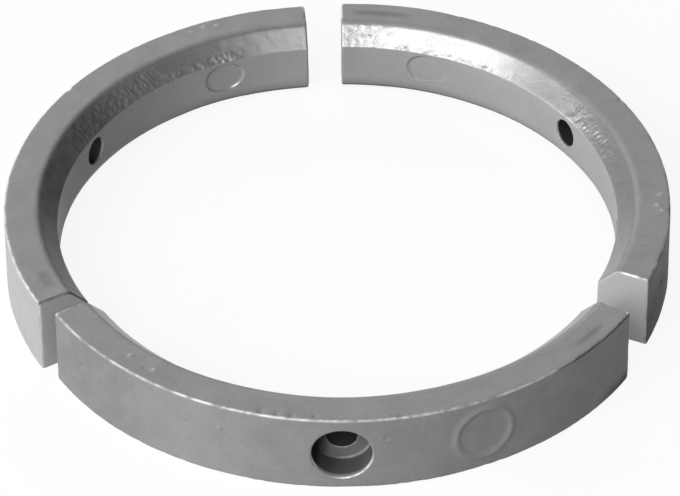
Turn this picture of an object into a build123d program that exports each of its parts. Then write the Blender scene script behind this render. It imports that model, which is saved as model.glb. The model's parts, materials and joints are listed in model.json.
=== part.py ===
"""Three-piece ring anode for a propeller hub: three equal cast segments, laid out flat around one axis.

Millimetres, +Z up. The origin is the middle of the laid-out set, on the face the segments rest on.
Each segment is one casting. It is made once with its mid-span along +X, then turned and moved to its place.
"""
from math import radians, sin, tan
import os

from build123d import *

# Section of the ring
HEIGHT = 15.6
SEAT_RADIUS = 51.2           # inner wall, which seats on the hub
WALL = 9.8                   # from the inner wall out to the outer wall at the top face
OUTER_TAPER_DEG = 1.6        # the outer wall widens towards the bottom
CHAMFER_WIDTH = 3.5          # chamfer between the inner wall and the top face, measured across the ring
CHAMFER_DROP = 4.0           # and measured down from the top face

# Soft edges of the casting
TOP_EDGE_RADIUS = 0.5        # between the outer wall and the top face
LEAD_IN_RADIUS = 4.6         # broad rounding between the inner wall and the bottom face

# Length of one segment along the ring
SPAN_DEG = 116.0

# Radial screw hole at mid-span, with a sunk seat for the screw head
SCREW_HOLE_DIAMETER = 5.5
COUNTERBORE_DIAMETER = 10.7
COUNTERBORE_DEPTH = 5.0
HOLE_HEIGHT = 7.8

# Round ejector witness marks in the inner wall, one each side of the hole, pushed parallel to mid-span
EJECTOR_DIAMETER = 6.6
EJECTOR_DEPTH = 0.35
EJECTOR_ANGLE_DEG = 38.5     # from mid-span, measured around the ring
EJECTOR_HEIGHT = 8.0

# Where each segment lies: direction of its mid-span in degrees, and how far its arc's axis is off the origin
LAYOUT = {
    "front_segment": (-90.0, 1.1, -1.15),
    "right_segment": (33.0, 1.4, 1.15),
    "left_segment": (153.25, -1.4, 0.6),
}


def outer_radius_at(height):
    """Radius of the outer wall at a height above the bottom face."""
    return SEAT_RADIUS + WALL + (HEIGHT - height) * tan(radians(OUTER_TAPER_DEG))


def sweep_around_axis(face):
    """Turns a face in the XZ plane into a body over the whole span, with mid-span along +X."""
    return Rot(0, 0, -SPAN_DEG / 2) * revolve(face, axis=Axis.Z, revolution_arc=SPAN_DEG)


def section_face():
    """The ring's section: radius across, height up, with its soft edges already rounded."""
    lead_in = (SEAT_RADIUS, 0)
    top_edge = (outer_radius_at(HEIGHT), HEIGHT)
    outline = make_face(Polyline(
        lead_in,
        (outer_radius_at(0), 0),
        top_edge,
        (SEAT_RADIUS + CHAMFER_WIDTH, HEIGHT),
        (SEAT_RADIUS, HEIGHT - CHAMFER_DROP),
        close=True))
    for corner, radius in ((lead_in, LEAD_IN_RADIUS), (top_edge, TOP_EDGE_RADIUS)):
        vertex = outline.vertices().sort_by_distance((*corner, 0))[0]
        outline = fillet(vertex, radius)
    return Plane.XZ * outline


def radial_pin(diameter, start, height, sideways=0.0):
    """A long round bar parallel to mid-span, from a distance off the axis outwards."""
    return Pos(start, sideways, height) * Rot(0, 90, 0) * Cylinder(
        diameter / 2, SEAT_RADIUS + 2 * WALL - start, align=(Align.CENTER, Align.CENTER, Align.MIN))


def screw_hole():
    """Through hole and counterbore, as one cutter."""
    floor = outer_radius_at(HOLE_HEIGHT) - COUNTERBORE_DEPTH
    return radial_pin(SCREW_HOLE_DIAMETER, SEAT_RADIUS / 2, HOLE_HEIGHT) + radial_pin(
        COUNTERBORE_DIAMETER, floor, HOLE_HEIGHT)


def ejector_marks():
    """Two shallow round marks that follow the inner wall."""
    skin = sweep_around_axis(Plane.XZ * make_face(Polyline(
        (SEAT_RADIUS - WALL, 0),
        (SEAT_RADIUS + EJECTOR_DEPTH, 0),
        (SEAT_RADIUS + EJECTOR_DEPTH, HEIGHT - CHAMFER_DROP),
        (SEAT_RADIUS - WALL, HEIGHT - CHAMFER_DROP),
        close=True)))
    sideways = SEAT_RADIUS * sin(radians(EJECTOR_ANGLE_DEG))
    return [skin & radial_pin(EJECTOR_DIAMETER, 0, EJECTOR_HEIGHT, side * sideways) for side in (-1, 1)]


def segment():
    """One finished casting with its mid-span along +X."""
    casting = sweep_around_axis(section_face()) - screw_hole()
    for mark in ejector_marks():
        casting = casting - mark
    return casting


def main():
    os.makedirs("parts", exist_ok=True)
    casting = segment()
    for name, (turn_deg, shift_x, shift_y) in LAYOUT.items():
        placed = Pos(shift_x, shift_y, 0) * Rot(0, 0, turn_deg) * casting
        placed.label = name
        export_step(placed, f"parts/{name}.step")


main()
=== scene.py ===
"""Dresses the three-piece ring anode: finely meshed castings in cast zinc, floor, lamps and camera.

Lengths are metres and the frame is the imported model's own. Each casting is meshed once with its mid-span
along +X, given its own cast surface, and then turned and moved onto its solid.
"""
import json
import math
from collections import namedtuple

import bpy
import numpy as np
from bpy.props import FloatProperty, FloatVectorProperty, IntProperty, PointerProperty
from mathutils import Matrix, Vector


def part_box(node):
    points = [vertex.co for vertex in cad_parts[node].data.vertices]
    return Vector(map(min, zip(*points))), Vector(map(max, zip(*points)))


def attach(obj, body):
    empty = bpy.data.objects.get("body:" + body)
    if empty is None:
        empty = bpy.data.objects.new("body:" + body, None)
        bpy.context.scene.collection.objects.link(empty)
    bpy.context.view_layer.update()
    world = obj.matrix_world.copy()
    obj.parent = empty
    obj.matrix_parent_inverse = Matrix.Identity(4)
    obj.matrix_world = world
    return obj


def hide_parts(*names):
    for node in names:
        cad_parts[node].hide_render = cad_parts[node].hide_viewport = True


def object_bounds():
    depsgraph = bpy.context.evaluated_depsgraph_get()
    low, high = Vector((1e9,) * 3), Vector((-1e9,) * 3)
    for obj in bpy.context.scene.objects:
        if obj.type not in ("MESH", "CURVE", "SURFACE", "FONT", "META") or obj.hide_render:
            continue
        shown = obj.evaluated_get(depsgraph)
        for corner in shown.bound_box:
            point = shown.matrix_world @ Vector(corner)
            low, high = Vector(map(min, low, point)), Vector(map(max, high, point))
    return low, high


bl_info = {
    "name": "Ring anode",
    "version": (1, 0, 0),
    "blender": (4, 5, 0),
    "location": "View3D > Sidebar > Ring anode",
    "description": "Builds a three-piece cast ring anode and the stage it is shown on",
    "category": "Add Mesh",
}

MM = 0.001
BODY = "root"

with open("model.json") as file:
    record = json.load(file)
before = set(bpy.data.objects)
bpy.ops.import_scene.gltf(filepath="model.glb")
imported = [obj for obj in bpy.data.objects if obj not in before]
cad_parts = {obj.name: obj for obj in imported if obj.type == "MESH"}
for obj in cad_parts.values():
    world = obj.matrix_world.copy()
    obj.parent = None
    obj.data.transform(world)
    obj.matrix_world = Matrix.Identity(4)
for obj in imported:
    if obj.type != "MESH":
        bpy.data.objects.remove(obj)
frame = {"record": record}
CAD_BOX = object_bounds()
MOUNTS = {mount["name"]: mount for mount in frame["record"]["mounts"]}
RING_HEIGHT = CAD_BOX[1].z - CAD_BOX[0].z
HOLE_HEIGHT = MOUNTS["front_screw_hole"]["pos_m"][2]
SCREW_HOLE_DIAMETER = 2 * MM * MOUNTS["front_screw_hole"]["dims"]["r_mm"]
COUNTERBORE_DIAMETER = 2 * MM * MOUNTS["front_head_seat"]["dims"]["r_mm"]


# ---------------------------------------------------------------- settings

def length_setting(name, description, default):
    return FloatProperty(name=name, description=description, default=default, subtype="DISTANCE")


def angle_setting(name, description, degrees):
    return FloatProperty(name=name, description=description, default=math.radians(degrees), subtype="ANGLE")


def share_setting(name, description, default):
    return FloatProperty(name=name, description=description, default=default, subtype="FACTOR", min=0, max=1)


def power_setting(name, description, default):
    return FloatProperty(name=name, description=description, default=default, subtype="POWER")


def grey_setting(name, description, level):
    return FloatVectorProperty(name=name, description=description, default=(level,) * 3, subtype="COLOR")


class CastingSizes(bpy.types.PropertyGroup):
    """Sizes that the three castings share."""
    height: length_setting("Height", "From the bottom face to the top face", RING_HEIGHT)
    seat_radius: length_setting("Seat radius", "Inner wall, which seats on the hub", 51.2 * MM)
    wall: length_setting("Wall", "From the seat radius out to the outer wall at the top face", 9.8 * MM)
    chamfer_width: length_setting(
        "Chamfer width", "Chamfer above the inner wall, measured across the ring", 3.5 * MM)
    chamfer_drop: length_setting(
        "Chamfer drop", "Chamfer above the inner wall, measured down from the top face", 4.0 * MM)
    outer_taper: angle_setting("Outer taper", "How far the outer wall leans outward towards the bottom", 1.6)
    span: angle_setting("Span", "Length of one segment around the ring", 116.0)
    hole_height: length_setting("Hole height", "Height of the screw hole's axis", HOLE_HEIGHT)
    screw_hole_diameter: length_setting("Screw hole", "Diameter of the through hole", SCREW_HOLE_DIAMETER)
    counterbore_diameter: length_setting(
        "Counterbore", "Diameter of the seat for the screw head", COUNTERBORE_DIAMETER)
    counterbore_depth: length_setting(
        "Counterbore depth", "From the outer wall to the counterbore's floor", 5.0 * MM)
    ejector_diameter: length_setting(
        "Ejector mark", "Diameter of the ejector pins that left marks in the inner wall", 6.6 * MM)
    ejector_depth: length_setting("Ejector mark depth", "How deep the ejector pins sank", 0.35 * MM)
    ejector_angle: angle_setting("Ejector angle", "From mid-span to each ejector mark", 38.5)
    ejector_height: length_setting("Ejector height", "Height of the ejector marks' centres", 8.0 * MM)


class CastSkin(bpy.types.PropertyGroup):
    """Soft edges and unevenness of the cast surface."""
    top_edge: length_setting("Top edge radius", "Between the outer wall and the top face", 0.5 * MM)
    chamfer_top: length_setting("Chamfer top radius", "Between the top face and the chamfer", 1.8 * MM)
    chamfer_foot: length_setting("Chamfer foot radius", "Between the chamfer and the inner wall", 0.5 * MM)
    lead_in: length_setting(
        "Lead-in radius", "Broad rounding between the inner wall and the bottom face", 4.6 * MM)
    foot_edge: length_setting("Foot edge radius", "Between the outer wall and the bottom face", 0.5 * MM)
    end_edge: length_setting("End edge radius", "Around both end faces", 0.4 * MM)
    rim_edge: length_setting(
        "Rim radius", "Around the counterbore's mouth and the hole's inner mouth", 0.3 * MM)
    floor_corner: length_setting("Floor corner radius", "Around the counterbore's floor", 0.3 * MM)
    hole_edge: length_setting(
        "Hole edge radius", "Where the screw hole opens in the counterbore's floor", 0.15 * MM)
    mark_step: length_setting("Mark step", "Width of the step around an ejector mark", 0.20 * MM)
    mesh_step: length_setting("Mesh step", "Distance between mesh points along the walls", 0.3 * MM)
    waviness: length_setting("Waviness", "Slow unevenness of the walls", 0.06 * MM)
    lumps: length_setting("Lumps", "Fine unevenness of the walls", 0.02 * MM)
    nicks: length_setting("Nicks", "Depth of the small dents along the convex edges", 0.14 * MM)
    seed: IntProperty(name="Seed", description="Picks another cast surface", default=7)


class AlloyFinish(bpy.types.PropertyGroup):
    """Look of the uncoated cast zinc alloy, including the colours of its painted light, painted shade and
    painted highlight.
    """
    colour: grey_setting("Colour", "Colour of the clean metal", 0.29)
    dull_colour: grey_setting("Dull colour", "Colour of the oxidised mottling", 0.25)
    # Painted light: a lighter grey painted on the end faces, on part of the inner wall and on the patches
    # listed under "clean".
    painted_light_colour: grey_setting("Clean colour", "Colour of the end faces, and of the inner wall in part", 0.42)
    speck_colour: grey_setting("Speck colour", "Colour of the fine dark specks", 0.15)
    # Painted highlight: this near-white colour stands for worn metal and for the highlight along the edges at
    # once.
    worn_and_highlight_colour: grey_setting("Worn colour", "Colour of the metal where its edges are rubbed bright", 0.92)
    # Painted shade: this near-black colour is painted in the counterbore and the hole, on the foot rounding
    # and on patches of the outer walls and chamfer, as well as on real stains on the top face.
    shade_and_stain_colour: grey_setting("Grime colour", "Colour of the dirt in corners and smears", 0.022)
    oxide_sheen: share_setting("Oxide sheen", "Specular level of the dull oxide", 0.15)
    metal: share_setting("Metal", "How metallic the oxidised walls and top face are", 0.12)
    roughness: share_setting("Roughness", "Roughness of the walls and the top face", 0.50)
    chamfer_metal: share_setting("Chamfer metal", "How metallic the smoother chamfer is", 0.60)
    chamfer_roughness: share_setting("Chamfer roughness", "Roughness of the chamfer", 0.34)
    chamfer_colour: grey_setting("Chamfer colour", "Colour of the chamfer's cleaner metal", 0.36)
    worn_metal: share_setting("Worn metal", "How much more metallic the rubbed edges are", 0.20)
    worn_polish: share_setting("Worn polish", "How much less rough the rubbed edges are", 0.18)
    shade_and_stain_roughness: share_setting("Grime roughness", "How much rougher the dirt is", 0.25)
    grain: length_setting("Grain", "Height of the fine cast grain", 0.03 * MM)
    crust: FloatProperty(
        name="Crust", description="How many times higher than the grain the crust of the rough patches is",
        default=2.0)


class StageSettings(bpy.types.PropertyGroup):
    """Floor, lights and camera."""
    floor_colour: grey_setting("Floor colour", "Colour of the floor as the camera and the metal see it", 0.95)
    bounce_colour: grey_setting(
        "Bounce colour", "Colour of the floor for the soft light that it throws back", 0.30)
    share_seen: share_setting(
        "Share seen", "How much of the floor's look is its plain colour, free of shadow", 0.90)
    ambient: FloatProperty(
        name="Ambient", description="Strength of the even light from all round", default=0.03)
    key_power: power_setting("Key light", "Power of the soft light high in front, left of the camera", 6.0)
    left_power: power_setting("Left light", "Power of the soft light high on the left", 5.0)
    low_power: power_setting("Low light", "Power of the soft light low on the front left", 4.6)
    side_power: power_setting("Side light", "Power of the low light square on the left", 8.6)
    front_power: power_setting("Front light", "Power of the soft light right of the camera", 1.6)
    back_power: power_setting("Back light", "Power of the wide light behind the ring", 4.7)
    camera_place: FloatVectorProperty(
        name="Camera place", description="Where the camera stands, from the ring's middle",
        default=(5.18 * MM, -476.38 * MM, 399.32 * MM), subtype="TRANSLATION", unit="LENGTH")
    camera_angles: FloatVectorProperty(
        name="Camera angles", description="The camera's yaw off +Y, its pitch and its roll",
        default=np.radians((-0.569, -39.768, -0.452)).tolist(), subtype="EULER", unit="ROTATION")
    lens: FloatProperty(
        name="Lens", description="Focal length on a 36 mm sensor", default=172.73, unit="CAMERA")


# ---------------------------------------------------------------- noise and small helpers

def lattice_noise(points, cell, seed):
    """Smooth noise from -1 to 1 at each point, with a new random value every cell."""
    size = 32
    table = np.random.default_rng(seed).uniform(-1, 1, (size, size, size))
    scaled = points / cell
    base = np.floor(scaled).astype(int)
    part = scaled - base
    part = part * part * (3 - 2 * part)
    total = np.zeros(len(points))
    for corner in np.ndindex(2, 2, 2):
        index = (base + corner) % size
        weight = np.prod(np.where(corner, part, 1 - part), axis=1)
        total += weight * table[index[:, 0], index[:, 1], index[:, 2]]
    return total


def smooth_step(low, high, values):
    """0 below low, 1 above high, and a smooth slope between."""
    share = np.clip((values - low) / (high - low), 0, 1)
    return share * share * (3 - 2 * share)


def band(low, high, fade, values):
    """1 between low and high and 0 outside them, with a smooth slope just inside each."""
    return smooth_step(low, low + fade, values) * (1 - smooth_step(high - fade, high, values))


def unit(vector):
    return vector / np.linalg.norm(vector)


def steps_to_one(count):
    """Even steps from 0 to 1, without the 0."""
    return np.linspace(0, 1, count + 1)[1:]


def add_object(name, data):
    """A new object in the scene, made of this mesh, light or camera."""
    added = bpy.data.objects.new(name, data)
    bpy.context.scene.collection.objects.link(added)
    return added


# ---------------------------------------------------------------- mesh of one casting

# The section's sides are numbered from the outer wall, going up it and round. Two of them have a patch, which
# is the block of grid that makes room for a hole's mouth or an ejector mark, between these heights.
OUTER_WALL, INNER_WALL = 0, 3
PATCHES = {OUTER_WALL: (1.7 * MM, 13.9 * MM), INNER_WALL: (4.62 * MM, 11.36 * MM)}
PATCH_ROWS = 38
HOLE_PATCH_WIDTH = 14.0 * MM
MARK_PATCH_COLUMNS = 38

# How many rows or rings of faces each small form gets
EDGE_STEPS = 5
END_RINGS = 10
HOLE_MOUTH_RINGS = 9
BORE_RINGS = 13
BORE_FLOOR_RINGS = 7
HOLE_RINGS = 15
MARK_BORDER_RINGS = 7
MARK_RINGS = 13

# A quarter round in steps: the share of its radius still to go one way, and the share gone the other way
QUARTER = [(1 - math.sin(turn), 1 - math.cos(turn)) for turn in np.linspace(0, math.pi / 2, EDGE_STEPS + 1)]


class Casting:
    """Collects the points and faces of one segment, with its mid-span along +X."""

    def __init__(self, sizes, skin):
        self.sizes = sizes
        self.skin = skin
        self.points = []
        self.faces = []
        self.count = 0

    def outer_radius(self, height):
        """Radius of the outer wall at a height."""
        lean = (self.sizes.height - height) * math.tan(self.sizes.outer_taper)
        return self.sizes.seat_radius + self.sizes.wall + lean

    def add_points(self, points):
        """Adds points and gives their numbers."""
        self.points.append(points)
        first = self.count
        self.count += len(points)
        return np.arange(first, self.count)

    def join_rings(self, one, other):
        """A closed band of faces between two rings of as many points."""
        one_next, other_next = np.roll(one, -1), np.roll(other, -1)
        self.faces.append(np.stack([one, one_next, other_next, other], axis=1))

    def close_ring(self, ring, centre):
        """A fan of faces from a ring to a new point in its middle."""
        hub = self.add_points(centre[None])[0]
        self.faces.append(np.stack([ring, np.roll(ring, -1), np.full(len(ring), hub)], axis=1))


def corner_arc(before, corner, after, radius, mesh_step):
    """Points and outward normals of the rounding at a corner of the section."""
    back, ahead = unit(before - corner), unit(after - corner)
    half_angle = math.acos(np.clip(back @ ahead, -1, 1)) / 2
    centre = corner + unit(back + ahead) * radius / math.sin(half_angle)
    reach = radius / math.tan(half_angle)
    start, end = unit(corner + back * reach - centre), unit(corner + ahead * reach - centre)
    turn = math.acos(np.clip(start @ end, -1, 1))
    steps = max(EDGE_STEPS, round(radius * turn / mesh_step))
    share = np.linspace(0, 1, steps + 1)[:, None]
    normals = (np.sin((1 - share) * turn) * start + np.sin(share * turn) * end) / math.sin(turn)
    return centre + normals * radius, normals


def patched_line(start, end, patch, mesh_step):
    """Shares along a wall that has a patch, without 0 and 1, and how many of them come before the patch."""
    near, far = sorted((height - start[1]) / (end[1] - start[1]) for height in patch)
    length = np.linalg.norm(end - start)
    before = max(1, round(near * length / mesh_step))
    after = max(1, round((1 - far) * length / mesh_step))
    line = np.concatenate([
        np.linspace(0, near, before + 1)[1:-1],
        np.linspace(near, far, PATCH_ROWS + 1),
        np.linspace(far, 1, after + 1)[1:-1]])
    return line, before - 1


def rounded_section(casting):
    """The ring's section, going up the outer wall and round, and the first row of each wall's patch.

    The section is points and outward normals, each as radius and height.
    """
    sizes, skin = casting.sizes, casting.skin
    corners = [
        np.array([casting.outer_radius(0), 0]),
        np.array([casting.outer_radius(sizes.height), sizes.height]),
        np.array([sizes.seat_radius + sizes.chamfer_width, sizes.height]),
        np.array([sizes.seat_radius, sizes.height - sizes.chamfer_drop]),
        np.array([sizes.seat_radius, 0])]
    radii = [skin.foot_edge, skin.top_edge, skin.chamfer_top, skin.chamfer_foot, skin.lead_in]
    arcs = [
        corner_arc(corners[side - 1], corner, corners[(side + 1) % len(corners)], radius, skin.mesh_step)
        for side, (corner, radius) in enumerate(zip(corners, radii))]

    points, normals, first_rows, total = [], [], {}, 0
    for side, (arc_points, arc_normals) in enumerate(arcs):
        start, end = arc_points[-1], arcs[(side + 1) % len(arcs)][0][0]
        if side in PATCHES:
            line, before = patched_line(start, end, PATCHES[side], skin.mesh_step)
            first_rows[side] = total + len(arc_points) + before
        else:
            line = np.linspace(0, 1, round(np.linalg.norm(end - start) / skin.mesh_step) + 1)[1:-1]
        points += [arc_points, start + line[:, None] * (end - start)]
        normals += [arc_normals, np.repeat(arc_normals[-1:], len(line), axis=0)]
        total += len(arc_points) + len(line)
    return np.concatenate(points), np.concatenate(normals), first_rows


def ring_grid(casting, section, normals, columns):
    """Sweeps the section over the span, rounds both ends and closes them.

    Gives the numbers of the grid's points, one row for each column, and how many columns round off an end.
    """
    sizes, skin = casting.sizes, casting.skin

    def column(share, across, down):
        """The section at a share of half the span, drawn in by an end's rounding."""
        radius = section[:, 0] - normals[:, 0] * skin.end_edge * down
        height = section[:, 1] - normals[:, 1] * skin.end_edge * down
        angle = share * (sizes.span / 2 - skin.end_edge * across / radius)
        return np.stack([radius * np.cos(angle), radius * np.sin(angle), height], axis=1)

    low_end = [column(-1, across, down) for across, down in QUARTER[:0:-1]]
    middle = [column(share, *QUARTER[0]) for share in np.linspace(-1, 1, columns + 1)]
    high_end = [column(1, across, down) for across, down in QUARTER[1:]]
    numbers = np.array([casting.add_points(points) for points in low_end + middle + high_end])

    for ring in (numbers[0], numbers[-1][::-1]):
        loop = np.concatenate(casting.points)[ring]
        centre = loop.mean(axis=0)
        for share in np.linspace(1, 0, END_RINGS + 2)[1:-1]:
            inner = casting.add_points(centre + (loop - centre) * share)
            casting.join_rings(ring, inner)
            ring = inner
        casting.close_ring(ring, centre)
    return numbers, len(low_end)


def fill_grid(casting, numbers, openings):
    """Faces between the grid's columns and rows, apart from the openings."""
    keep = np.ones((numbers.shape[0] - 1, numbers.shape[1]), bool)
    for first_column, first_row, columns, rows in openings:
        keep[first_column:first_column + columns, first_row:first_row + rows] = False
    one, other = numbers[:-1], numbers[1:]
    quads = np.stack([one, other, np.roll(other, -1, axis=1), np.roll(one, -1, axis=1)], axis=2)
    casting.faces.append(quads[keep])


def opening_edge(numbers, first_column, first_row, columns, rows, upward):
    """Numbers around an opening, starting at its low left corner and going right along its low edge.

    upward says whether the grid's rows go up the wall.
    """
    block = numbers[first_column:first_column + columns + 1, first_row:first_row + rows + 1]
    if not upward:
        block = block[:, ::-1]
    return np.concatenate([block[:-1, 0], block[-1, :-1], block[:0:-1, -1], block[0, :0:-1]])


def screw_hole(casting, outer_edge, inner_edge):
    """Counterbore, through hole and both mouths, joined to the openings left in the two walls."""
    sizes, skin = casting.sizes, casting.skin
    known = np.concatenate(casting.points)

    def polar(edge):
        """Distance from the hole's axis and angle around it."""
        sideways, upward = known[edge, 1], known[edge, 2] - sizes.hole_height
        return np.hypot(sideways, upward), np.unwrap(np.arctan2(upward, sideways))

    def place(reach, angle, along):
        """Points at a distance from the hole's axis, and at a distance along it from the ring's axis."""
        reach, along = np.broadcast_to(reach, angle.shape), np.broadcast_to(along, angle.shape)
        return np.stack([along, reach * np.cos(angle), sizes.hole_height + reach * np.sin(angle)], axis=1)

    def on_wall(reach, angle, wall_radius):
        """How far along the hole's axis a wall of the ring is met."""
        return np.sqrt(wall_radius ** 2 - (reach * np.cos(angle)) ** 2)

    outer_reach, outer_angle = polar(outer_edge)
    inner_reach, inner_angle = polar(inner_edge)
    bore, hole = sizes.counterbore_diameter / 2, sizes.screw_hole_diameter / 2
    rim, corner, edge = skin.rim_edge, skin.floor_corner, skin.hole_edge
    floor = casting.outer_radius(sizes.hole_height) - sizes.counterbore_depth
    rings = []

    for share in steps_to_one(HOLE_MOUTH_RINGS):
        reach = outer_reach * (1 - share) + (bore + rim) * share
        wall_radius = casting.outer_radius(sizes.hole_height + reach * np.sin(outer_angle))
        rings.append((reach, outer_angle, on_wall(reach, outer_angle, wall_radius)))
    lip = rings[-1][2]
    rings += [(bore + rim * across, outer_angle, lip - rim * down) for across, down in QUARTER[1:]]
    start, end = lip - rim, floor + corner
    rings += [(bore, outer_angle, start + (end - start) * share) for share in steps_to_one(BORE_RINGS)]
    rings += [(bore - corner * down, outer_angle, floor + corner * across) for across, down in QUARTER[1:]]
    start, end = bore - corner, hole + edge
    rings += [(start + (end - start) * share, outer_angle, floor) for share in steps_to_one(BORE_FLOOR_RINGS)]
    rings += [(hole + edge * across, outer_angle, floor - edge * down) for across, down in QUARTER[1:]]

    mouth = []
    for share in steps_to_one(HOLE_MOUTH_RINGS)[::-1]:
        reach = inner_reach * (1 - share) + (hole + rim) * share
        mouth.append((reach, inner_angle, on_wall(reach, inner_angle, sizes.seat_radius)))
    lip = mouth[0][2]
    start, end = floor - edge, lip + rim
    for share in steps_to_one(HOLE_RINGS):
        angle = outer_angle * (1 - share) + inner_angle * share
        rings.append((hole, angle, start * (1 - share) + end * share))
    rings += [(hole + rim * down, inner_angle, lip + rim * across) for across, down in QUARTER[1:-1]]

    ring = outer_edge
    for reach, angle, along in rings + mouth:
        following = casting.add_points(place(reach, angle, along))
        casting.join_rings(ring, following)
        ring = following
    casting.join_rings(ring, inner_edge)


def ejector_mark(casting, edge, side):
    """A shallow round mark that follows the inner wall, with a crisp step around it."""
    sizes, skin = casting.sizes, casting.skin
    known = np.concatenate(casting.points)
    centre = side * sizes.seat_radius * math.sin(sizes.ejector_angle)
    sideways, upward = known[edge, 1] - centre, known[edge, 2] - sizes.ejector_height
    edge_reach, angle = np.hypot(sideways, upward), np.arctan2(upward, sideways)
    radius, field = sizes.ejector_diameter / 2, sizes.ejector_diameter / 2 - skin.mark_step

    rings = [(edge_reach * (1 - share) + radius * share, 0) for share in steps_to_one(MARK_BORDER_RINGS)]
    rings += [(radius - skin.mark_step * share, sizes.ejector_depth * smooth_step(0, 1, share))
              for share in steps_to_one(EDGE_STEPS)]
    rings += [(field * share, sizes.ejector_depth) for share in np.linspace(1, 0, MARK_RINGS + 2)[1:-1]]
    ring = edge
    for reach, depth in rings:
        sideways = centre + reach * np.cos(angle)
        following = casting.add_points(np.stack([
            np.sqrt((sizes.seat_radius + depth) ** 2 - sideways ** 2), sideways,
            sizes.ejector_height + reach * np.sin(angle)], axis=1))
        casting.join_rings(following, ring)
        ring = following
    out = math.sqrt((sizes.seat_radius + sizes.ejector_depth) ** 2 - centre ** 2)
    casting.close_ring(ring[::-1], np.array([out, centre, sizes.ejector_height]))


def mesh_casting(name, casting):
    """Turns the collected points and faces into a closed, smooth-shaded mesh object."""
    used = np.unique(np.concatenate([faces.ravel() for faces in casting.faces]))
    renumber = np.zeros(casting.count, int)
    renumber[used] = np.arange(len(used))
    points = np.concatenate(casting.points)[used]
    faces = [face for group in casting.faces for face in renumber[group].tolist()]
    mesh = bpy.data.meshes.new(name)
    mesh.from_pydata(points.tolist(), [], faces)
    mesh.validate()
    mesh.shade_smooth()
    return add_object(name, mesh)


def build_casting(name, sizes, skin):
    """One finished segment with its mid-span along +X, before its cast surface is added."""
    casting = Casting(sizes, skin)
    section, normals, first_rows = rounded_section(casting)
    half_columns = round(sizes.span * (sizes.seat_radius + sizes.wall) / skin.mesh_step / 2)
    numbers, end_columns = ring_grid(casting, section, normals, 2 * half_columns)
    middle = end_columns + half_columns

    half_patch = round(HOLE_PATCH_WIDTH / 2 / skin.mesh_step)
    outer_opening, inner_opening = (
        (middle - half_patch, first_rows[wall], 2 * half_patch, PATCH_ROWS)
        for wall in (OUTER_WALL, INNER_WALL))
    marks = {}
    for side in (-1, 1):
        centre = end_columns + round(half_columns * (1 + side * sizes.ejector_angle * 2 / sizes.span))
        first_column = centre - MARK_PATCH_COLUMNS // 2
        marks[side] = (first_column, first_rows[INNER_WALL], MARK_PATCH_COLUMNS, PATCH_ROWS)

    fill_grid(casting, numbers, [outer_opening, inner_opening, *marks.values()])
    outer_edge = opening_edge(numbers, *outer_opening, upward=True)
    screw_hole(casting, outer_edge, opening_edge(numbers, *inner_opening, upward=False))
    for side, opening in marks.items():
        ejector_mark(casting, opening_edge(numbers, *opening, upward=False), side)
    return mesh_casting(name, casting)


# ---------------------------------------------------------------- cast surface

# Rough, rippled casting skin on the chamfer, between two angles off mid-span in degrees and two heights.
# rise is how high it stands, ripple how wide its ripples are, and lean how far they run along per step up.
RoughPatch = namedtuple("RoughPatch", "first last low high rise ripple lean")

# A small dent, or a bump where its depth is below 0. reach is how far it spreads from its middle.
Pit = namedtuple("Pit", "angle radius height reach depth")

# A plain raised ring on the outer wall, left by a round insert in the mould
InsertRing = namedtuple("InsertRing", "angle height radius bead rise")

# A darker or lighter patch on one face ("outer", "top" or "chamfer"), between two angles off mid-span and two
# levels: radii on the top face, heights elsewhere. Those under "smears" are dark: stains on the top face and
# painted shade on the outer wall and the chamfer. Those under "clean" are painted light.
Smear = namedtuple("Smear", "face first last low high strength")

# Size of the cells of each unevenness
WAVE_CELL = 14 * MM
SHORT_WAVE_CELL = 5 * MM
LUMP_CELL = 1.6 * MM
NICK_CELL = 1.3 * MM
WORN_CELL = 2.2 * MM
WORN_GRAIN_CELL = 0.6 * MM
TONE_PATCH_CELL = 1.5 * MM

# Soft borders: widths, an angle in degrees, and a tone patch's as shares of its length and its width
CHAMFER_BORDER = 0.6 * MM
NICK_BORDER = 1.0 * MM
ROUGH_BORDER = 0.4 * MM
ROUGH_BORDER_ANGLE = 1.5
TONE_PATCH_BORDER_ALONG, TONE_PATCH_BORDER_ACROSS = 0.3, 0.35

# Share of a normal along a direction, where a face begins to face that way and where it does in full
FACING = 0.5, 0.9

# How sharply an edge turns, per millimetre, where its worn look and painted highlight begin and where they
# are full
SHARP_EDGE = 0.5, 1.5

# Levels of noise where a nick begins and where it is full
NICKED = 0.15, 0.7

# Rough skin: share of its rise in wrinkles and in lumps, a wrinkle's cell along the ring in ripples, and how
# much taller than that the cell is
WRINKLES, LUMPS, WRINKLE_CELL, WRINKLE_STRETCH = 0.6, 0.7, 1.5, 1.7

# The field inside an insert ring is sunk by this share of the ring's rise
SUNK_FIELD = 0.35

# Points up to this far inside the top edge's radius still belong to the outer wall
OUTER_SKIN = 0.6 * MM

# Worn edges and their painted highlight shine in patches: how strongly on the whole, and how far patches and
# grain sway it
WORN_LEVEL, WORN_PATCHES, WORN_GRAIN = 0.70, 0.7, 0.6

# How strongly each place is worn and painted with highlight, painted with shade or painted with light, from 0
# to 1
WALL_WEAR = 0.12
# Painted highlight on the line round the counterbore's floor
FLOOR_LINE_HIGHLIGHT = 0.5
# Raised bumps on the top face are made lighter
BUMP_LIGHTENING = 0.3
# Painted shade in the counterbore, on its walls and on its floor
BORE_SHADE = 0.80
BORE_FLOOR_SHADE = 0.35
# Painted shade on the lead-in rounding next to the floor
FOOT_SHADE = 0.8
# Painted light on the inner wall
INNER_WALL_PAINTED_LIGHT = 0.45

# Rough skin this high has the full crust
FULL_CRUST_RISE = 0.14 * MM

# First seed of each kind of mark, counted from the casting's own, and the step from casting to casting
ROUGH_SEED, TONE_PATCH_SEED, PAINTED_LIGHT_SEED, SEED_STEP = 10, 40, 60, 100


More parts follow.
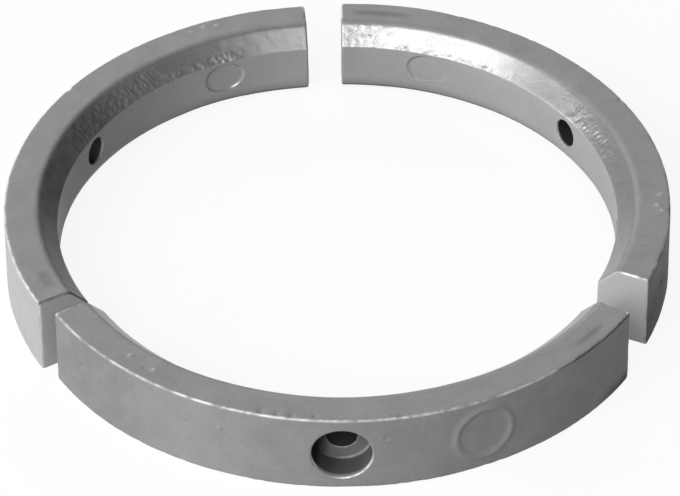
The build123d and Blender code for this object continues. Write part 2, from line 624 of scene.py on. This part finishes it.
def read_vectors(items, name):
    """One vector per row, read from a mesh."""
    values = np.zeros(len(items) * 3, np.float32)
    items.foreach_get(name, values)
    return values.reshape(-1, 3).astype(float)


class Surface:
    """Points and outward normals of a casting's mesh, and how they lie around the ring."""

    def __init__(self, mesh):
        self.points = read_vectors(mesh.vertices, "co")
        self.normals = read_vectors(mesh.vertex_normals, "vector")
        edges = np.zeros(len(mesh.edges) * 2, np.int32)
        mesh.edges.foreach_get("vertices", edges)
        self.edges = edges.reshape(-1, 2)
        along, across, self.height = self.points.T
        self.angle = np.degrees(np.arctan2(across, along))
        self.radius = np.hypot(along, across)
        self.outward = (self.normals[:, 0] * along + self.normals[:, 1] * across) / self.radius
        self.sideways = np.abs(self.normals[:, 1] * along - self.normals[:, 0] * across) / self.radius
        self.upward = self.normals[:, 2]


def convexity(surface):
    """How sharply the surface turns, per millimetre: above 0 on outer edges, below 0 in inner corners."""
    count = len(surface.points)
    pairs = ((surface.edges[:, 0], surface.edges[:, 1]), (surface.edges[:, 1], surface.edges[:, 0]))
    shortest = 0.02 * MM
    turning, neighbours = np.zeros(count), np.zeros(count)
    for one, other in pairs:
        step = surface.points[one] - surface.points[other]
        length = np.maximum((step ** 2).sum(axis=1), shortest ** 2)
        np.add.at(turning, one, 2 * (step * surface.normals[one]).sum(axis=1) / length * MM)
        np.add.at(neighbours, one, 1)
    turning /= np.maximum(neighbours, 1)
    for _ in range(2):
        spread, shared = turning.copy(), np.ones(count)
        for one, other in pairs:
            np.add.at(spread, one, turning[other])
            np.add.at(shared, one, 1)
        turning = spread / shared
    return turning


def on_chamfer(surface):
    """1 on the chamfer and 0 elsewhere, with soft borders."""
    return smooth_step(0.15, 0.5, surface.upward) * smooth_step(0.2, 0.6, -surface.outward)


def rough_area(surface, patch):
    """Where a rough patch lies, from 0 to 1, with soft borders."""
    along = band(patch.first - ROUGH_BORDER_ANGLE, patch.last + ROUGH_BORDER_ANGLE,
                 2 * ROUGH_BORDER_ANGLE, surface.angle)
    up = band(patch.low - ROUGH_BORDER, patch.high + ROUGH_BORDER, 2 * ROUGH_BORDER, surface.height)
    return on_chamfer(surface) * along * up


def rough_skin(surface, patch, seed):
    """Height of rough casting skin: uneven wrinkles that lean along the ring, and lumps between them."""
    along = np.radians(surface.angle) * surface.radius + patch.lean * surface.height
    level = np.zeros(len(along))
    flow = np.stack([along / patch.ripple, surface.height / (WRINKLE_STRETCH * patch.ripple), level], axis=1)
    wrinkles = 1 - 2 * np.abs(lattice_noise(flow, WRINKLE_CELL, seed))
    lumps = lattice_noise(surface.points, patch.ripple, seed + 1)
    return patch.rise * (WRINKLES * wrinkles + LUMPS * lumps)


def insert_ring(surface, ring, sizes):
    """Height of a plain raised ring on the outer wall, with a slightly sunk field inside."""
    outer = sizes.seat_radius + sizes.wall
    along = np.radians(surface.angle - ring.angle) * outer
    reach = np.hypot(along, surface.height - ring.height)
    bead = np.exp(-((reach - ring.radius) / ring.bead) ** 2)
    field = 1 - smooth_step(ring.radius - 2 * ring.bead, ring.radius, reach)
    return (surface.radius > outer - OUTER_SKIN) * ring.rise * (bead - SUNK_FIELD * field)


def dome(surface, pit):
    """Shape of a pit or a bump, 1 in its middle."""
    turn = math.radians(pit.angle)
    middle = np.array([pit.radius * math.cos(turn), pit.radius * math.sin(turn), pit.height])
    return np.exp(-((surface.points - middle) ** 2).sum(axis=1) / pit.reach ** 2)


def tone_patch_strength(surface, smears, seed):
    """How strongly a list of tone patches marks each point, from 0 to 1; the lists hold stains, painted shade
    and painted light.
    """
    facing = {
        "outer": smooth_step(*FACING, surface.outward),
        "top": smooth_step(0.1, 0.4, surface.upward),
        "chamfer": on_chamfer(surface),
    }
    strength = np.zeros(len(surface.points))
    for number, tone_patch in enumerate(smears):
        level = surface.radius if tone_patch.face == "top" else surface.height
        along_border = TONE_PATCH_BORDER_ALONG * (tone_patch.last - tone_patch.first)
        across_border = TONE_PATCH_BORDER_ACROSS * (tone_patch.high - tone_patch.low)
        along = band(tone_patch.first, tone_patch.last, along_border, surface.angle)
        across = band(tone_patch.low, tone_patch.high, across_border, level)
        patchy = np.clip(0.9 + 0.2 * lattice_noise(surface.points, TONE_PATCH_CELL, seed + number), 0, 1)
        strength += tone_patch.strength * facing[tone_patch.face] * along * across * patchy
    return np.clip(strength, 0, 1)


def cavities(surface, sizes):
    """Painted shade in the counterbore and the hole, a painted highlight line round the floor, and the rim
    apart from its lower right, which keeps no worn look or painted highlight.
    """
    right, up = surface.points[:, 1], surface.height - sizes.hole_height
    reach = np.hypot(right, up)
    slack, line_width, rim_width = 0.05 * MM, 0.30 * MM, 0.8 * MM
    bore, hole = sizes.counterbore_diameter / 2 + slack, sizes.screw_hole_diameter / 2 + slack
    above_seat = surface.points[:, 0] - sizes.seat_radius
    above_floor = above_seat - sizes.wall + sizes.counterbore_depth

    in_bore = (reach < bore) & (above_floor > -0.3 * MM)
    on_floor = 1 - smooth_step(0.2 * MM, 0.5 * MM, above_floor)
    # Painted shade, full on the counterbore's left side
    on_left = smooth_step(0.1, 0.9, -right / bore)
    below_mouth = smooth_step(0.2 * MM, 0.8 * MM, sizes.counterbore_depth - above_floor)
    painted_shade = np.maximum(BORE_SHADE + (BORE_FLOOR_SHADE - BORE_SHADE) * on_floor, on_left)
    painted_shade = painted_shade * in_bore * below_mouth
    # Painted shade down the screw hole
    in_hole = (reach < hole) & (above_floor < 0.1 * MM)
    painted_shade = np.maximum(painted_shade, in_hole * smooth_step(0.1 * MM, 0.5 * MM, above_seat))

    # Painted highlight: a bright line round the counterbore's floor, on its right side
    floor_line = np.exp(-((reach - bore) / line_width) ** 2 - ((above_floor - 0.1 * MM) / line_width) ** 2)
    floor_line = floor_line * in_bore * smooth_step(-0.5, 0.3, right / bore)

    # The rim takes no worn look or painted highlight, except on its lower right
    rim = (reach < bore + rim_width) & (above_floor > 0.7 * sizes.counterbore_depth)
    lower_right = (right - up) / (math.sqrt(2) * bore)
    return painted_shade * (1 - floor_line), floor_line, rim * (1 - smooth_step(0.35, 0.95, lower_right))


def cast_relief(surface, sizes, skin, details, open_edges, seed):
    """Height of the cast surface: waves, lumps, nicked edges, rough patches, pits and insert rings."""
    relief = skin.waviness * lattice_noise(surface.points, WAVE_CELL, seed)
    relief += skin.waviness * 0.5 * lattice_noise(surface.points, SHORT_WAVE_CELL, seed + 1)
    relief += skin.lumps * lattice_noise(surface.points, LUMP_CELL, seed + 2)
    nicked = smooth_step(*NICKED, lattice_noise(surface.points, NICK_CELL, seed + 3))
    relief -= skin.nicks * open_edges * nicked
    for number, patch in enumerate(details["rough"]):
        relief += rough_area(surface, patch) * rough_skin(surface, patch, seed + ROUGH_SEED + 2 * number)
    for pit in details["pits"]:
        relief -= pit.depth * dome(surface, pit)
    for ring in details["insert_rings"]:
        relief += insert_ring(surface, ring, sizes)
    return relief


def finish_notes(surface, sizes, details, open_edges, seed):
    """What the finish reads at each point, from 0 to 1, under the names that it reads."""
    rough, raised = np.zeros(len(surface.points)), np.zeros(len(surface.points))
    for patch in details["rough"]:
        rough = np.maximum(rough, rough_area(surface, patch) * min(1, patch.rise / FULL_CRUST_RISE))
    for pit in details["pits"]:
        is_bump, on_top = pit.depth < 0, pit.height > sizes.height - 0.5 * MM
        if is_bump and on_top:
            raised += dome(surface, pit)

    painted_shade, floor_line, rim_without_highlight = cavities(surface, sizes)
    # Stains on the top face and painted shade on the walls and chamfer, from the patches under "smears"
    dark = tone_patch_strength(surface, details["smears"], seed + TONE_PATCH_SEED)
    # Painted light from the patches under "clean"
    painted_light_patches = tone_patch_strength(surface, details["clean"], seed + PAINTED_LIGHT_SEED)
    # Painted shade on the downward-facing rounding at the foot, where it meets the floor
    foot = smooth_step(0.40, 0.80, -surface.upward) * smooth_step(0, 0.3, -surface.outward)
    chamfer = smooth_step(*details["chamfer_slope"], -surface.outward)
    chamfer = chamfer * smooth_step(0.42, 0.62, surface.upward)
    # Painted light: the inner wall, apart from the chamfer, and the end faces are made lighter
    inner_wall = smooth_step(*FACING, -surface.outward) * (1 - chamfer)
    end_faces = smooth_step(*FACING, surface.sideways)

    patchy = WORN_LEVEL + WORN_PATCHES * lattice_noise(surface.points, WORN_CELL, seed + 4)
    patchy += WORN_GRAIN * lattice_noise(surface.points, WORN_GRAIN_CELL, seed + 5)
    # The worn look and painted highlight are full on edges that face up and weak on the walls
    exposed = WALL_WEAR + (1 - WALL_WEAR) * smooth_step(0.1, 0.4, surface.upward)
    rubbed = open_edges * exposed * (1 - dark) * (1 - rim_without_highlight)
    # Worn edges with painted highlight, the painted highlight line round the counterbore's floor and lighter
    # raised bumps
    wear = np.clip(rubbed + FLOOR_LINE_HIGHLIGHT * floor_line + BUMP_LIGHTENING * raised, 0, 1)
    return {
        "wear": wear * np.clip(patchy, 0, 1),
        # Painted shade in the counterbore, the hole and at the foot, with stains and painted shade from the
        # tone patches
        "grime": np.clip(painted_shade + dark + FOOT_SHADE * foot, 0, 1),
        "rough": rough,
        "smooth_chamfer": chamfer,
        # Painted light on the inner wall, the end faces and the patches under "clean"
        "clean": np.clip(INNER_WALL_PAINTED_LIGHT * inner_wall + end_faces + painted_light_patches, 0, 1),
    }


def cast_surface(casting_object, sizes, skin, details, seed):
    """Gives the casting its unevenness and marks, and notes what its finish reads at each point."""
    mesh = casting_object.data
    surface = Surface(mesh)
    beyond_chamfer = surface.radius - sizes.seat_radius - sizes.chamfer_width - CHAMFER_BORDER
    open_edges = smooth_step(*SHARP_EDGE, convexity(surface)) * smooth_step(0, NICK_BORDER, beyond_chamfer)
    for name, values in finish_notes(surface, sizes, details, open_edges, seed).items():
        mesh.attributes.new(name, "FLOAT", "POINT").data.foreach_set("value", values.astype(np.float32))
    relief = cast_relief(surface, sizes, skin, details, open_edges, seed)
    points = surface.points + surface.normals * relief[:, None]
    mesh.vertices.foreach_set("co", points.astype(np.float32).ravel())
    mesh.update()


# Where each casting lies (mid-span's direction in degrees, the arc's axis off the origin) and what it shows.
# chamfer_slope is how far inwards it leans where the chamfer's smoother skin begins, and where that is full.
CASTINGS = {
    "front_segment": {
        "place": (-90.0, 1.1 * MM, -1.15 * MM),
        "chamfer_slope": (0.25, 0.55),
        "rough": [],
        "pits": [
            Pit(-49.8, 61.2 * MM, 9.4 * MM, 0.45 * MM, 0.35 * MM),
            Pit(-20.5, 61.2 * MM, 10.5 * MM, 0.5 * MM, -0.25 * MM),
            Pit(-40.5, 57.5 * MM, RING_HEIGHT, 0.5 * MM, -0.22 * MM),
            Pit(-36.5, 58.6 * MM, RING_HEIGHT, 0.4 * MM, 0.25 * MM),
            Pit(-34.8, 58.0 * MM, RING_HEIGHT, 0.45 * MM, -0.22 * MM),
            Pit(-13.5, 60.0 * MM, RING_HEIGHT, 0.55 * MM, 0.28 * MM),
            Pit(-10.8, 60.1 * MM, RING_HEIGHT, 0.45 * MM, 0.25 * MM),
            Pit(-8.3, 60.2 * MM, RING_HEIGHT, 0.5 * MM, 0.30 * MM),
            Pit(-4.4, 59.9 * MM, RING_HEIGHT, 0.4 * MM, 0.22 * MM),
            Pit(9.8, 60.6 * MM, 15.3 * MM, 0.6 * MM, 0.30 * MM),
            Pit(7.3, 61.2 * MM, 11.0 * MM, 0.4 * MM, 0.20 * MM),
        ],
        "insert_rings": [InsertRing(24.2, 8.1 * MM, 5.4 * MM, 0.60 * MM, 0.28 * MM)],
        # The first two darken the top face: a stain, and a dark band along its outer edge that also takes
        # away the worn edge there. Those on the outer wall are painted shade.
        "smears": [
            Smear("top", 44.0, 54.0, 57.6 * MM, 59.4 * MM, 0.28),
            Smear("top", 33.0, 68.0, 60.6 * MM, 61.8 * MM, 0.90),
            Smear("outer", -85.0, -26.0, -10.0 * MM, 28.0 * MM, 0.26),
            Smear("outer", 46.0, 80.0, -6.0 * MM, 3.5 * MM, 0.70),
        ],
        "clean": [],
    },
    "right_segment": {
        "place": (33.0, 1.4 * MM, 1.15 * MM),
        "chamfer_slope": (0.48, 0.74),
        "rough": [
            RoughPatch(47.0, 57.5, 11.4 * MM, 15.2 * MM, 0.055 * MM, 0.60 * MM, 0.8),
            RoughPatch(-20.0, -0.5, 11.9 * MM, 14.5 * MM, 0.06 * MM, 0.40 * MM, 0.7),
            RoughPatch(-34.0, -18.0, 11.9 * MM, 13.8 * MM, 0.035 * MM, 0.60 * MM, 0.3),
            RoughPatch(22.0, 46.0, 11.2 * MM, 12.2 * MM, 0.12 * MM, 0.60 * MM, 0.2),
        ],
        "pits": [
            Pit(-50.5, 61.2 * MM, 9.0 * MM, 0.4 * MM, 0.35 * MM),
            Pit(-34.0, 59.2 * MM, RING_HEIGHT, 0.5 * MM, -0.16 * MM),
            Pit(-37.0, 58.6 * MM, RING_HEIGHT, 0.5 * MM, -0.16 * MM),
            Pit(-38.6, 59.4 * MM, RING_HEIGHT, 0.4 * MM, -0.14 * MM),
            Pit(-5.0, 60.4 * MM, RING_HEIGHT, 0.5 * MM, 0.22 * MM),
        ],
        "insert_rings": [],
        # A stain on the top face; the two on the outer wall are painted shade
        "smears": [
            Smear("top", 42.0, 57.5, 56.5 * MM, 58.8 * MM, 0.28),
            Smear("outer", -85.0, -26.0, -12.0 * MM, 30.0 * MM, 0.28),
            Smear("outer", -80.0, -36.0, -12.0 * MM, 14.0 * MM, 0.30),
        ],
        "clean": [],
    },
    "left_segment": {
        "place": (153.25, -1.4 * MM, 0.6 * MM),
        "chamfer_slope": (0.30, 0.60),
        "rough": [
            RoughPatch(-24.0, 8.0, 11.6 * MM, 14.7 * MM, 0.15 * MM, 0.42 * MM, -0.4),
            RoughPatch(-43.0, -23.0, 11.3 * MM, 12.9 * MM, 0.11 * MM, 0.44 * MM, -0.5),
            RoughPatch(-58.0, -20.0, 11.8 * MM, 15.0 * MM, 0.007 * MM, 0.60 * MM, 0.0),
        ],
        "pits": [
            Pit(-40.0, 58.6 * MM, RING_HEIGHT, 0.5 * MM, -0.16 * MM),
            Pit(-37.5, 59.2 * MM, RING_HEIGHT, 0.5 * MM, -0.18 * MM),
            Pit(-34.8, 58.8 * MM, RING_HEIGHT, 0.4 * MM, -0.16 * MM),
            Pit(-6.0, 60.9 * MM, 15.5 * MM, 0.6 * MM, 0.30 * MM),
        ],
        "insert_rings": [],
        # Two stains on the top face; the two on the chamfer are painted shade
        "smears": [
            Smear("top", 49.0, 55.5, 55.6 * MM, 58.6 * MM, 0.28),
            Smear("top", 57.2, 58.9, 50.0 * MM, 66.0 * MM, 0.75),
            Smear("chamfer", -30.0, 90.0, 9.0 * MM, 18.0 * MM, 0.42),
            Smear("chamfer", -22.0, 40.0, 9.0 * MM, 18.0 * MM, 0.34),
        ],
        # Painted light: the outer wall near the left end is made lighter, a painted highlight
        "clean": [Smear("outer", 22.0, 80.0, -10.0 * MM, 28.0 * MM, 0.80)],
    },
}


# ---------------------------------------------------------------- finish

# Cells to the metre in each pattern of the finish
MOTTLING, GLOSS, SPECKS, GRAIN, CRUST = 160, 420, 1300, 1500, 2600


class ShaderGraph:
    """A new material, to which shader nodes are added one after the other."""

    def __init__(self, name):
        self.material = bpy.data.materials.new(name)
        self.material.use_nodes = True
        self.nodes = self.material.node_tree.nodes
        self.links = self.material.node_tree.links

    def feed(self, socket, value):
        """Links an input to another node's output, or sets it to a plain value."""
        if isinstance(value, bpy.types.NodeSocket):
            self.links.new(value, socket)
        else:
            socket.default_value = value

    def attribute(self, name):
        """A value noted at the mesh's points."""
        node = self.nodes.new("ShaderNodeAttribute")
        node.attribute_name = name
        return node.outputs["Fac"]

    def noise(self, place, scale, detail, roughness):
        """Noise from 0 to 1."""
        node = self.nodes.new("ShaderNodeTexNoise")
        node.inputs["Scale"].default_value = scale
        node.inputs["Detail"].default_value = detail
        node.inputs["Roughness"].default_value = roughness
        self.links.new(place, node.inputs["Vector"])
        return node.outputs["Fac"]

    def ramp(self, value, *stops):
        """Grey between two stops, each a position and a level."""
        node = self.nodes.new("ShaderNodeValToRGB")
        for element, (position, level) in zip(node.color_ramp.elements, stops):
            element.position = position
            element.color = (level, level, level, 1)
        self.links.new(value, node.inputs["Fac"])
        return node.outputs["Color"]

    def spread(self, value, low, high):
        """Spreads a value from 0 to 1 over another range."""
        node = self.nodes.new("ShaderNodeMapRange")
        node.inputs["To Min"].default_value = low
        node.inputs["To Max"].default_value = high
        self.links.new(value, node.inputs["Value"])
        return node.outputs["Result"]

    def mix(self, factor, one, other):
        """Mixes two colours, each an output or a plain colour."""
        node = self.nodes.new("ShaderNodeMix")
        node.data_type = "RGBA"
        self.links.new(factor, node.inputs["Factor"])
        for name, colour in (("A", one), ("B", other)):
            plain = not isinstance(colour, bpy.types.NodeSocket)
            self.feed(node.inputs[name], (*colour, 1) if plain else colour)
        return node.outputs["Result"]

    def math(self, operation, *values):
        """One value worked out of outputs or numbers."""
        node = self.nodes.new("ShaderNodeMath")
        node.operation = operation
        for socket, value in zip(node.inputs, values):
            self.feed(socket, value)
        return node.outputs["Value"]


def cast_zinc(finish):
    """Uncoated cast zinc alloy: mottled, speckled and dull, with worn edges painted with highlight, painted
    shade in the corners and on some walls, painted light on the end faces and inner wall, stains, and fine
    grain.
    """
    graph = ShaderGraph("cast_zinc")
    surface = graph.nodes["Principled BSDF"].inputs
    place = graph.nodes.new("ShaderNodeTexCoord").outputs["Object"]
    wear, grime, smooth, clean, rough = (
        graph.attribute(name) for name in ("wear", "grime", "smooth_chamfer", "clean", "rough"))

    mottling = graph.ramp(graph.noise(place, MOTTLING, 6, 0.6), (0.32, 0), (0.68, 1))
    colour = graph.mix(mottling, finish.dull_colour, finish.colour)
    # Painted light: lighter on the end faces, part of the inner wall and the patches under "clean"
    colour = graph.mix(clean, colour, finish.painted_light_colour)
    colour = graph.mix(smooth, colour, finish.chamfer_colour)
    specks = graph.ramp(graph.noise(place, SPECKS, 3, 0.6), (0.54, 0), (0.78, 0.36))
    specks = graph.math("MULTIPLY", graph.math("SUBTRACT", 1.0, clean), specks)
    colour = graph.mix(specks, colour, finish.speck_colour)
    # Painted highlight: worn edges are painted near white
    colour = graph.mix(wear, colour, finish.worn_and_highlight_colour)
    # Painted shade, near black, in the counterbore, the hole, at the foot and on patches of the walls and
    # chamfer, with real stains on the top face
    colour = graph.mix(grime, colour, finish.shade_and_stain_colour)
    graph.feed(surface["Base Color"], colour)

    metal = graph.spread(smooth, finish.metal, finish.chamfer_metal)
    metal = graph.math("ADD", metal, graph.math("MULTIPLY", wear, finish.worn_metal))
    graph.feed(surface["Metallic"], graph.math("MULTIPLY", metal, graph.math("SUBTRACT", 1.0, grime)))

    roughness = graph.spread(smooth, finish.roughness, finish.chamfer_roughness)
    roughness = graph.math("SUBTRACT", roughness, graph.math("MULTIPLY", wear, finish.worn_polish))
    roughness = graph.math("ADD", roughness, graph.math("MULTIPLY", grime, finish.shade_and_stain_roughness))
    uneven = graph.spread(graph.noise(place, GLOSS, 4, 0.55), -0.06, 0.08)
    graph.feed(surface["Roughness"], graph.math("ADD", roughness, uneven))
    graph.feed(surface["Specular IOR Level"], finish.oxide_sheen)

    crust = graph.math("MULTIPLY", rough, finish.crust)
    crust = graph.math("MULTIPLY", graph.noise(place, CRUST, 3, 0.5), crust)
    bump = graph.nodes.new("ShaderNodeBump")
    bump.inputs["Distance"].default_value = finish.grain
    graph.feed(bump.inputs["Height"], graph.math("ADD", graph.noise(place, GRAIN, 5, 0.6), crust))
    graph.feed(surface["Normal"], bump.outputs["Normal"])
    return graph.material


# ---------------------------------------------------------------- stage

FLOOR_REACH = 3.0
FLOOR_GAP = 0.05 * MM
LAMP_DISTANCE = 1.2
SENSOR_WIDTH = 36
CLIP_START, CLIP_END = 0.01, 50

# Where each lamp stands, in degrees around and up, and its size. Its power is the setting NAME_power.
Lamp = namedtuple("Lamp", "azimuth elevation width height")
LAMPS = {
    "key": Lamp(-110, 42, 0.46, 0.46),
    "left": Lamp(-150, 42, 0.46, 0.46),
    "low": Lamp(-130, 22, 0.46, 0.46),
    "side": Lamp(180, 8, 0.42, 0.42),
    "front": Lamp(-70, 42, 0.46, 0.46),
    "back": Lamp(90, 28, 0.90, 0.35),
}


def stage_white(settings):
    """Pale floor that the camera, metal and glass see as near white, and that still takes a soft shadow."""
    graph = ShaderGraph("floor_white")
    graph.nodes.remove(graph.nodes["Principled BSDF"])
    rays = graph.nodes.new("ShaderNodeLightPath").outputs
    seen = rays["Is Camera Ray"]
    for ray in ("Is Glossy Ray", "Is Transmission Ray"):
        seen = graph.math("MAXIMUM", seen, rays[ray])
    matt = graph.nodes.new("ShaderNodeBsdfDiffuse")
    graph.feed(matt.inputs["Color"], graph.mix(seen, settings.bounce_colour, settings.floor_colour))
    glow = graph.nodes.new("ShaderNodeEmission")
    glow.inputs["Strength"].default_value = 1.0
    mix = graph.nodes.new("ShaderNodeMixShader")
    graph.feed(mix.inputs["Fac"], graph.math("MULTIPLY", seen, settings.share_seen))
    graph.feed(mix.inputs[1], matt.outputs[0])
    graph.feed(mix.inputs[2], glow.outputs[0])
    graph.feed(graph.nodes["Material Output"].inputs["Surface"], mix.outputs[0])
    return graph.material


def build_floor(settings):
    """A wide pale floor under the castings."""
    mesh = bpy.data.meshes.new("floor")
    corners = [(x * FLOOR_REACH, y * FLOOR_REACH, 0) for x, y in ((-1, -1), (1, -1), (1, 1), (-1, 1))]
    mesh.from_pydata(corners, [], [(0, 1, 2, 3)])
    mesh.materials.append(stage_white(settings))
    floor = add_object("floor", mesh)
    floor.location.z = CAD_BOX[0].z - FLOOR_GAP


def build_world(settings):
    """Even dim light from all round."""
    world = bpy.data.worlds.new("studio")
    bpy.context.scene.world = world
    world.use_nodes = True
    background = world.node_tree.nodes["Background"]
    background.inputs["Color"].default_value = (1, 1, 1, 1)
    background.inputs["Strength"].default_value = settings.ambient


def add_lamp(name, lamp, power):
    """A soft area light that faces the ring's middle."""
    turn, rise = math.radians(lamp.azimuth), math.radians(lamp.elevation)
    direction = Vector((math.cos(turn) * math.cos(rise), math.sin(turn) * math.cos(rise), math.sin(rise)))
    light = bpy.data.lights.new(name, "AREA")
    light.shape = "RECTANGLE"
    light.size, light.size_y = lamp.width, lamp.height
    light.energy = power
    lamp_object = add_object(name, light)
    lamp_object.location = direction * LAMP_DISTANCE
    lamp_object.rotation_euler = (-direction).to_track_quat("-Z", "Y").to_euler()


def build_camera(settings):
    """The camera looks along +Y and down at the ring."""
    yaw, pitch, roll = settings.camera_angles
    forward = Vector((math.sin(yaw) * math.cos(pitch), math.cos(yaw) * math.cos(pitch), math.sin(pitch)))
    level_right = Vector((math.cos(yaw), -math.sin(yaw), 0))
    level_up = level_right.cross(forward)
    right = level_right * math.cos(roll) + level_up * math.sin(roll)
    up = level_up * math.cos(roll) - level_right * math.sin(roll)
    lens = bpy.data.cameras.new("camera")
    lens.sensor_fit = "HORIZONTAL"
    lens.sensor_width = SENSOR_WIDTH
    lens.lens = settings.lens
    lens.clip_start, lens.clip_end = CLIP_START, CLIP_END
    camera = add_object("camera", lens)
    turned = Matrix((right, up, -forward)).transposed().to_4x4()
    camera.matrix_world = Matrix.Translation(settings.camera_place) @ turned
    bpy.context.scene.camera = camera


# ---------------------------------------------------------------- operators and panel

class ANODE_OT_castings(bpy.types.Operator):
    """Build the three cast segments in place of their plain solids"""
    bl_idname = "anode.castings"
    bl_label = "Cast segments"

    def execute(self, context):
        scene = context.scene
        sizes, skin = scene.anode_sizes, scene.anode_skin
        alloy = cast_zinc(scene.anode_finish)
        for number, (node, details) in enumerate(CASTINGS.items()):
            casting = build_casting(node + "_casting", sizes, skin)
            cast_surface(casting, sizes, skin, details, skin.seed + SEED_STEP * number)
            turn, shift_x, shift_y = details["place"]
            low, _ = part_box(node)
            shift = Matrix.Translation((shift_x, shift_y, low.z))
            casting.data.transform(shift @ Matrix.Rotation(math.radians(turn), 4, "Z"))
            casting.data.materials.append(alloy)
            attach(casting, BODY)
            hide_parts(node)
        return {"FINISHED"}


class ANODE_OT_stage(bpy.types.Operator):
    """Build the floor, the lights, the background and the camera"""
    bl_idname = "anode.stage"
    bl_label = "Stage"

    def execute(self, context):
        settings = context.scene.anode_stage
        build_floor(settings)
        build_world(settings)
        for name, lamp in LAMPS.items():
            add_lamp(name + "_light", lamp, getattr(settings, name + "_power"))
        build_camera(settings)
        context.scene.view_settings.view_transform = "Standard"
        return {"FINISHED"}


class ANODE_PT_panel(bpy.types.Panel):
    """Lists the steps that build the anode"""
    bl_idname = "ANODE_PT_panel"
    bl_label = "Ring anode"
    bl_space_type = "VIEW_3D"
    bl_region_type = "UI"
    bl_category = "Ring anode"

    def draw(self, context):
        for operator in (ANODE_OT_castings, ANODE_OT_stage):
            self.layout.operator(operator.bl_idname)


SETTINGS = {
    "anode_sizes": CastingSizes,
    "anode_skin": CastSkin,
    "anode_finish": AlloyFinish,
    "anode_stage": StageSettings,
}
CLASSES = (*SETTINGS.values(), ANODE_OT_castings, ANODE_OT_stage, ANODE_PT_panel)


def register():
    for cls in CLASSES:
        bpy.utils.register_class(cls)
    for name, group in SETTINGS.items():
        setattr(bpy.types.Scene, name, PointerProperty(type=group))


def unregister():
    for name in SETTINGS:
        delattr(bpy.types.Scene, name)
    for cls in reversed(CLASSES):
        bpy.utils.unregister_class(cls)


def main():
    register()
    bpy.ops.anode.castings()
    bpy.ops.anode.stage()


if __name__ == "__main__":
    main()
